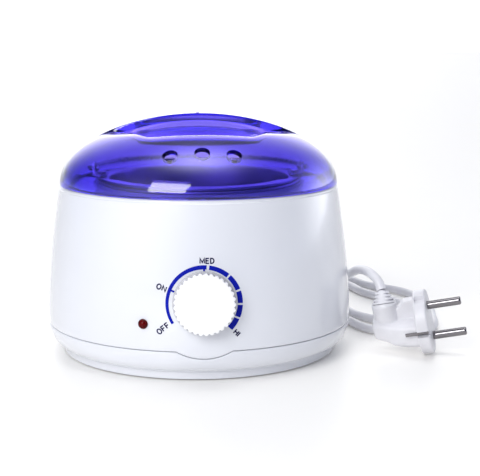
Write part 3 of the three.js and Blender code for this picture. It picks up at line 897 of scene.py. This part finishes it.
def print_word(name, text, radius, degrees, tilt, size):
    """A plain word drawn with even strokes on the dial's face, its middle at a radius and angle."""
    widths = [max(x for line in GLYPHS[letter] for x, _ in line) for letter in text]
    start = -(sum(widths) + LETTER_GAP * (len(text) - 1)) / 2
    spin = Matrix.Rotation(math.radians(tilt), 2)
    middle = Vector(polar(radius, degrees))
    points, faces = [], []
    for letter, width in zip(text, widths):
        for line in GLYPHS[letter]:
            placed = [middle + spin @ (Vector((start + x, y - 0.5)) * size) for x, y in line]
            base = len(points)
            for inner, outer in stroke_sides(placed):
                points += ink_corners(inner, outer, LETTER_FRONT)
            quads = grid_faces(len(line), 4, wrap_rows=False)
            faces += [tuple(base + k for k in face) for face in quads]
            if line[0] != line[-1]:
                last = base + 4 * (len(line) - 1)
                faces += [(base + 3, base + 2, base + 1, base), (last, last + 1, last + 2, last + 3)]
        start += width + LETTER_GAP
    piece(name, points, faces, "text_ink", "housing", slot="dial_ink")


def make_print():
    """The scale's thin arc, its five thicker arcs, three ticks and four plain words."""
    print_arc("scale_low", 212.4, 86, 1.5, 2.2)
    thick, thicker_by = 2.3, 0.14
    spans = [(82, 49.5), (46.5, 21.5), (18.5, -0.5), (-3.5, -22.5), (-25.5, -44)]
    for i, (start, end) in enumerate(spans, 1):
        print_arc(f"scale_high_{i}", start, end, thick, thick + thicker_by)
        thick += thicker_by
    print_tick("tick_on", 158, 3.2, 1.0)
    print_tick("tick_med", 90, 3.2, 1.0)
    print_tick("tick_hi", -43.4, 3.4)
    print_word("word_off", "OFF", 25.0, 211.5, 40, 2.6)
    print_word("word_on", "ON", 23.4, 159.5, -21, 2.6)
    print_word("word_med", "MED", 22.2, 86, 0, 2.5)
    print_word("word_hi", "HI", 22.9, -43, -45, 2.6)


def knob_section(angle):
    """The knob's cap, with shallow flutes round its side."""
    flute = 0.95 * (0.5 - 0.5 * math.cos(KNOB_LOBES * angle)) ** 1.6
    side = KNOB_R - flute
    return rounded([
        (0, KNOB_FRONT), (0, 7.2), (13, 7.2, 0.5), (13, 2.4), (side, 2.4, 0.3),
        (side, KNOB_FRONT - 0.2, 0.8), (14.4, KNOB_FRONT, 0.4),
    ])


def make_knob():
    """The dial's white cap, and a skirt behind it in darker grey, painted shade round the cap's edge."""
    spun(
        "knob", knob_section, "knob_plastic", "dial", ["control_knob"], DIAL_PLACE,
        angles=around(KNOB_LOBES * 12), sharp=50,
    )
    skirt_r = KNOB_R + 0.5
    skirt = rounded([
        (12.6, KNOB_BACK, 0.2), (skirt_r, KNOB_BACK, 0.3), (skirt_r, 2.3, 0.4), (12.6, 2.3, 0.2),
    ])
    # the skirt's darker grey is painted shade round the cap's edge
    spun("knob_skirt", skirt, "knob_painted_shade", "dial", ["control_knob"], DIAL_PLACE, slot="knob_plastic")


def make_lamp():
    """The lamp's lens: a stem through the wall, a thin flange and a low dome."""
    section = [(0, 78), (2.1, 78), (2.1, 87.3), (2.65, 87.4), (2.65, 87.8)]
    for degrees in range(0, 91, 9):
        a = math.radians(degrees)
        section.append((2.45 * math.cos(a), 87.9 + 1.9 * math.sin(a)))
    spun("lamp_lens_fine", section, "lamp_lens", "housing", ["indicator_lens"], LAMP_PLACE, around(48))


make_print()
make_knob()
make_lamp()


# ---- Well, lift-out pot and bail ----
def make_well():
    """The fixed well that the pot stands in."""
    outline = rounded([
        (0, 32.2), (50.5, 32.2, 3), (54.4, 33.8, 2), (56, 38, 3), (56, 95.3, 0.3), (59.7, 95.3, 0.2),
        (59.7, 96.3, 0.5), (54.6, 96.3, 0.8), (54.6, 38.4, 3), (53.2, 34.9, 2), (50, 33.7, 2), (0, 33.7),
    ])
    spun("well_spun", outline, "well_aluminium", "housing", ["heater_well"], angles=around(180))


def make_pot():
    """The lift-out pot, with a hole for a rivet through each side of its rim."""
    outline = rounded([
        (0, 35), (47.5, 35, 3), (51.4, 36.6, 3), (52.8, 40.4, 3), (52.8, 96.6, 0.8), (58.5, 96.6, 0.5),
        (58.5, 98, 0.5), (51.6, 98, 1.2), (51.3, 40.8, 3), (50, 37.8, 2), (47, 36.5, 2), (0, 36.5),
    ])
    holes = [solid_rod(1.9, 90, 99, move(x, 0, 0)) for x in (-55.8, 55.8)]
    spun("pot_spun", outline, "pot_aluminium", "lift_pot", ["inner_pot"], angles=around(180), cuts=holes)


def make_bail():
    """A wire hoop whose two ends turn in through the pot's ears."""
    path = [Vector((57.4, 0, BAIL_Z)), Vector((60, 0, BAIL_Z)), Vector((61.6, 0.2, BAIL_Z))]
    path += [Vector((*polar(BAIL_R, a), BAIL_Z)) for a in range(2, 179, 2)]
    path += [Vector((-61.6, 0.2, BAIL_Z)), Vector((-60, 0, BAIL_Z)), Vector((-57.4, 0, BAIL_Z))]
    round_curve("bail_wire", [p * MM for p in path], BAIL_WIRE, "steel", "bail", ["pot_bail"])


make_well()
make_pot()
make_bail()
for node in ("pot_ear_left", "pot_ear_right", "pot_rivet_left", "pot_rivet_right"):
    refined(node)
for number in range(1, 5):
    refined(f"foot_{number}", 0.4, 3)
    refined(f"base_screw_{number}", 0.5, 3)


# ---- Lid ----
def dome_height(r, radius, rise):
    """Height of the lid's dome over its rim, at a distance from the axis."""
    return rise * max(0.0, 1 - (r / radius) ** LID_POWER) ** (1 / LID_POWER)


def smooth_step(value, low, high):
    """A share that rises smoothly from 0 at low to 1 at high."""
    t = min(1.0, max(0.0, (value - low) / (high - low)))
    return t * t * (3 - 2 * t)


def lower_of(dome, floor):
    """The lower of dome and scoop, with a rounded edge where the two cross."""
    if floor < dome - 8:
        return floor
    return dome - SCOOP_BLEND * math.log(1 + math.exp((dome - floor) / SCOOP_BLEND))


def lid_height(x, y, inner):
    """Height of the lid's outer or inner surface: a dome with a scoop on each side of a grip ridge."""
    margin = LID_WALL if inner else 0
    radius = LID_R - LID_RIM_WALL if inner else LID_R
    dome = LID_Z + dome_height(math.hypot(x, y), radius, LID_RISE - margin)
    across = max(0.0, abs(y) - RIDGE_HALF)
    inside = 1 - (x / (SCOOP["rx"] + margin)) ** 2 - (across / (SCOOP["ry"] + margin)) ** 2
    if inside <= 0:
        return dome
    floor = SCOOP["z"] - (SCOOP["rz"] + margin) * math.sqrt(inside)
    from_middle = math.hypot(x, 0.5 * across)
    floor += SHOULDER["rise"] * smooth_step(from_middle, SHOULDER["start"], SHOULDER["end"])
    cut = lower_of(dome, floor)
    side = RIDGE_HALF - margin
    share = smooth_step(abs(y), side + RIDGE_FLANK[0], side + RIDGE_FLANK[1])
    cap = RIDGE_CAP * (1 - share) if inner else 0
    return dome + (cut - dome) * share - min(cap, 0.5 * (dome - cut))


def lid_rows():
    """Angles from -90 to 90 degrees that place the grid's rows, closest at the ridge's two sides."""
    half = [0.0, 0.6, 1.2, 1.8, 2.2, 2.5, 2.8, 3.1, 3.5, 3.9, 4.2]
    half += [4.4 + 0.14 * i for i in range(12)]
    angles = [math.degrees(math.asin(y / LID_R)) for y in half]
    start, steps = angles[-1], 74
    angles += [start + (90 - start) * i / steps for i in range(1, steps)]
    return sorted({-a for a in angles} | set(angles))


def lid_sheet(inner, radius, columns):
    """One surface of the lid, as rows of points across it; every row ends on the rim."""
    rows = []
    for degrees in lid_rows():
        y = radius * math.sin(math.radians(degrees))
        reach = radius * math.cos(math.radians(degrees))
        row = []
        for i in range(columns + 1):
            x = -reach * math.cos(math.pi * i / columns)
            row.append((x, y, lid_height(x, y, inner)))
        rows.append(row)
    return rows


def add_sheet(points, faces, rows, pole_height, radius):
    """Adds a surface's points and faces, closing its two poles, and returns its rim's points in order."""
    start = len(points)
    width = len(rows[0])
    for row in rows:
        points.extend(row)
    faces.extend(
        tuple(start + k for k in face) for face in grid_faces(len(rows), width, False, False)
    )
    front, back = len(points), len(points) + 1
    points.extend([(0, -radius, pole_height), (0, radius, pole_height)])
    last = start + (len(rows) - 1) * width
    for j in range(width - 1):
        faces.append((front, start + j, start + j + 1))
        faces.append((back, last + j + 1, last + j))
    right = [start + i * width + width - 1 for i in range(len(rows))]
    left = [start + i * width for i in reversed(range(len(rows)))]
    return [front, *right, back, *left]


def lid_mesh():
    """Outer and inner surface, joined by rings round the lid's rim and its locating lip."""
    points, faces = [], []
    outer_columns, inner_columns = 220, 90
    outer = lid_sheet(False, LID_R, outer_columns)
    ring = add_sheet(points, faces, outer, LID_Z, LID_R)
    inner = lid_sheet(True, LID_INNER_R, inner_columns)
    inner_edge = LID_Z + dome_height(LID_INNER_R, LID_R - LID_RIM_WALL, LID_RISE - LID_WALL)
    inner_rim = add_sheet(points, faces, inner, inner_edge, LID_INNER_R)
    bearing = [math.atan2(points[k][1], points[k][0]) for k in ring]
    rim = [
        (79.5, 95.72), (79.1, 95.65), (77.0, 95.65), (76.75, 95.4), (76.7, 93.5), (76.4, 93.2),
        (75.1, 93.2), (74.8, 93.5), (74.8, 97.5), (74.5, 100.5),
    ]
    for radius, height in rim:
        fresh = [len(points) + i for i in range(len(bearing))]
        points += [(radius * math.cos(a), radius * math.sin(a), height) for a in bearing]
        faces += bridge(ring, fresh)
        ring = fresh
    faces += bridge(ring, inner_rim)
    return points, faces


def bridge(ring, other):
    """Quads between two rings of as many points."""
    count = len(ring)
    return [(ring[i], ring[(i + 1) % count], other[(i + 1) % count], other[i]) for i in range(count)]


def make_lid():
    """The lid, with three vents drilled through its front."""
    points, faces = lid_mesh()
    lid = piece("lid_shell", points, faces, "lid_plastic", "lid", ["lid"], sharp=70)
    for angle, r in VENTS["at"]:
        height = LID_Z + dome_height(r, LID_R, LID_RISE)
        place = turn("Z", angle) @ move(0, -r, height) @ turn("X", VENTS["lean"])
        boolean(lid, solid_rod(VENTS["radius"], -12, 12, place, 48), "DIFFERENCE")
    lid.data.set_sharp_from_angle(angle=math.radians(60))


def make_gate_nub():
    """The small mark that the moulding's gate leaves on top of the ridge."""
    section = rounded([(0, -0.3), (0.9, -0.3), (0.9, 0.4, 0.3), (0, 0.4)])
    place = move(-0.6, 0, LID_Z + LID_RISE)
    spun("lid_gate_nub", section, "lid_plastic", "lid", place=place, angles=around(32))


make_lid()
make_gate_nub()


# ---- CAD nodes that still show take a finish by their slot ----
for name, node in frame["nodes"].items():
    node.data.materials.clear()
    node.data.materials.append(FINISHES[SLOT_OF[name]])


# ---- Floor and light ----
def make_floor():
    """A wide pale floor, with a faint glow that keeps it pale in the shade."""
    glow = {"Emission_Color": (1, 1, 1, 1), "Emission_Strength": 0.07}
    finish = Finish("floor", (0.94, 0.925, 0.89), 0.4, **glow)
    finish.tint(finish.noise(6), (0.93, 0.915, 0.88)).rough(finish.noise(15), 0.36, 0.46)
    points = [(-12, -6, 0), (12, -6, 0), (12, 18, 0), (-12, 18, 0)]
    mesh = bpy.data.meshes.new("floor")
    mesh.from_pydata(points, [], [(0, 1, 2, 3)])
    mesh.materials.append(finish.material)
    floor = bpy.data.objects.new("floor", mesh)
    bpy.context.scene.collection.objects.link(floor)


def area_light(name, azimuth, elevation, distance, size, radiance):
    """A soft box round the pot's middle. Azimuth counts from the front, to the right."""
    a, e = math.radians(azimuth), math.radians(elevation)
    towards = Vector((math.sin(a) * math.cos(e), -math.cos(a) * math.cos(e), math.sin(e)))
    data = bpy.data.lights.new(name, "AREA")
    data.shape = "RECTANGLE"
    data.size, data.size_y = size
    data.energy = radiance * math.pi * size[0] * size[1]
    lamp = bpy.data.objects.new(name, data)
    lamp.location = Vector((0, 0, 0.08)) + distance * towards
    lamp.rotation_euler = (-towards).to_track_quat("-Z", "Y").to_euler()
    bpy.context.scene.collection.objects.link(lamp)


def make_sky():
    """A dim studio with soft glows and a pale horizon."""
    glows = [  # direction, sharpness, colour
        ((0, 0, 1), 20, (4.3, 4.3, 4.3)),
        ((0, 1, 0.45), 10, (2.0, 1.97, 1.92)),
        ((-0.75, -0.66, 0.2), 8, (1.05, 1.03, 0.99)),
        ((1.0, 0.45, 0.0), 12, (3.0, 3.0, 3.05)),
        ((0, 1, 0.0), 12, (0.6, 0.59, 0.57)),
    ]
    world = bpy.data.worlds.new("world")
    world.use_nodes = True
    nodes, links = world.node_tree.nodes, world.node_tree.links
    place = nodes.new("ShaderNodeTexCoord").outputs["Generated"]
    total = None

    def add_glow(value, sharpness, color, below):
        """Adds a value raised to a power, times a colour, to the light so far, or to AMBIENT."""
        fall = nodes.new("ShaderNodeMath")
        fall.operation = "POWER"
        fall.inputs[1].default_value = sharpness
        links.new(value, fall.inputs[0])
        glow = nodes.new("ShaderNodeVectorMath")
        glow.operation = "MULTIPLY_ADD"
        glow.inputs[1].default_value = color
        glow.inputs[2].default_value = AMBIENT
        links.new(fall.outputs["Value"], glow.inputs[0])
        if below is not None:
            links.new(below, glow.inputs[2])
        return glow.outputs["Vector"]

    for towards, sharpness, color in glows:
        near = nodes.new("ShaderNodeVectorMath")
        near.operation = "DOT_PRODUCT"
        near.inputs[1].default_value = Vector(towards).normalized()
        links.new(place, near.inputs[0])
        front = nodes.new("ShaderNodeMath")
        front.operation = "MAXIMUM"
        front.inputs[1].default_value = 0
        links.new(near.outputs["Value"], front.inputs[0])
        total = add_glow(front.outputs["Value"], sharpness, color, total)
    height = nodes.new("ShaderNodeSeparateXYZ")
    links.new(place, height.inputs[0])
    low = nodes.new("ShaderNodeMath")
    low.operation = "SUBTRACT"
    low.inputs[0].default_value = 1
    low.use_clamp = True
    links.new(height.outputs["Z"], low.inputs[1])
    total = add_glow(low.outputs["Value"], HORIZON["sharpness"], HORIZON["color"], total)
    links.new(total, nodes["Background"].inputs["Color"])
    bpy.context.scene.world = world


def make_light():
    """The sky, and two soft boxes at the front left."""
    make_sky()
    area_light("window_upper", -26, 34, 1.1, (0.55, 0.2), 8)
    area_light("window_lower", -27, 22, 1.1, (0.56, 0.27), 8.5)


make_floor()
make_light()
bpy.context.scene.view_settings.view_transform = "Standard"
